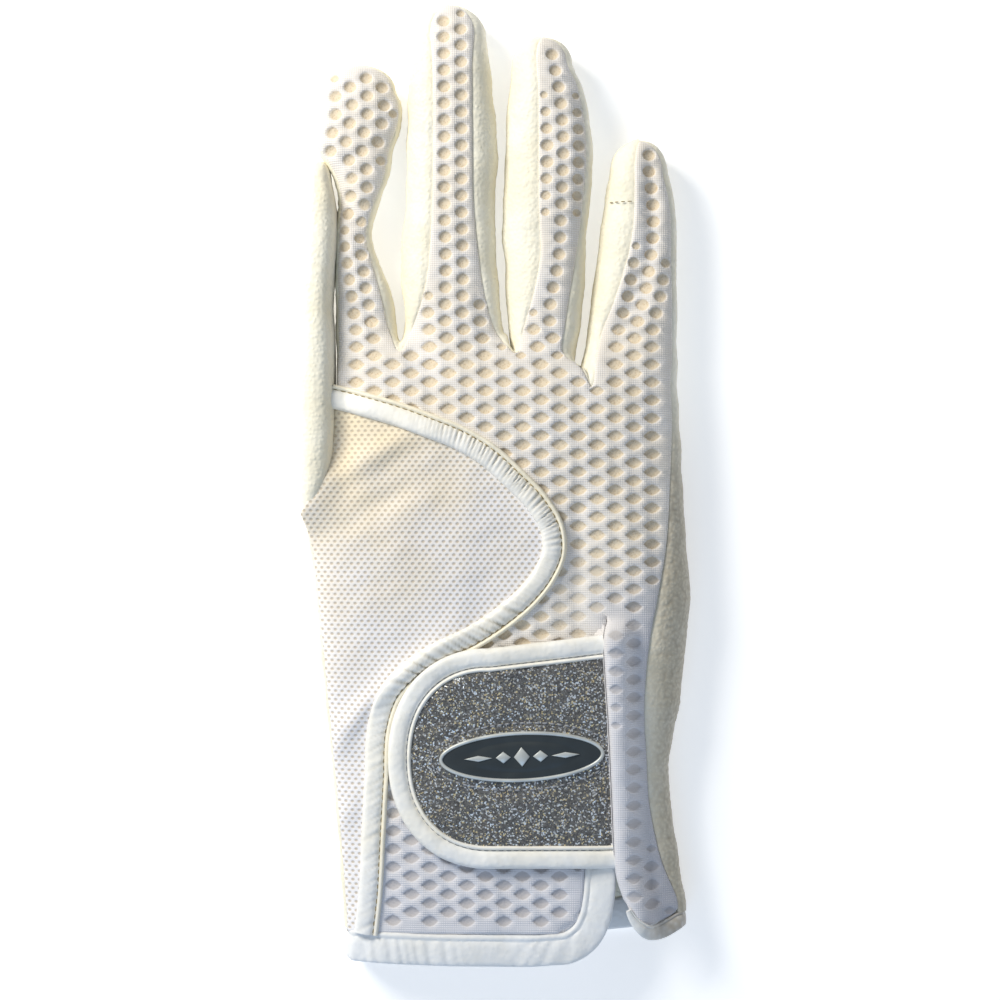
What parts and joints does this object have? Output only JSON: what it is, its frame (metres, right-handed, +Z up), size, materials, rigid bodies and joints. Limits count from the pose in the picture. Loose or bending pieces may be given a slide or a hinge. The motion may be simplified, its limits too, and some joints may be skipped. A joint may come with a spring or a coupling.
{
  "type": "riding glove",
  "caption": "Right-hand riding glove lying palm down, with a honeycomb mesh back, leather palm and fingers, and a wrist tab with an oval badge.",
  "frame": {"origin": "under the middle of the glove, on the surface that it lies on", "axes": "+Y from the cuff towards the fingers, +X from the thumb side towards the little finger, +Z up from the palm to the back"},
  "size_m": [0.1002, 0.2452, 0.0218],
  "materials": {
    "honeycomb_mesh": "white spacer mesh with raised ridges round beige hexagonal cells",
    "fine_mesh": "fine off-white mesh",
    "cream_leather": "smooth cream leather with a fine grain",
    "white_tape": "soft white synthetic leather tape, satin",
    "glitter_fabric": "silver glitter",
    "hook_fastener": "matt hook-and-loop pile",
    "badge_grey": "dark grey soft rubber, satin",
    "badge_silver": "light silver-grey rubber, satin"
  },
  "bodies": {
    "root": {"back_mesh": "honeycomb_mesh", "mesh_insert": "fine_mesh", "palm_leather": "cream_leather", "thumb_leather": "cream_leather", "fourchette_index_middle": "cream_leather", "fourchette_middle_ring": "cream_leather", "fourchette_ring_little": "cream_leather", "side_index": "cream_leather", "side_wrist": "cream_leather", "side_little": "cream_leather", "seam_tape": "white_tape", "hem_tape": "white_tape", "tab_panel": "glitter_fabric", "tab_tape": "white_tape", "fastener_patch": "hook_fastener", "badge_plate": "badge_grey", "badge_rim": "badge_silver"}
  },
  "joints": []
}
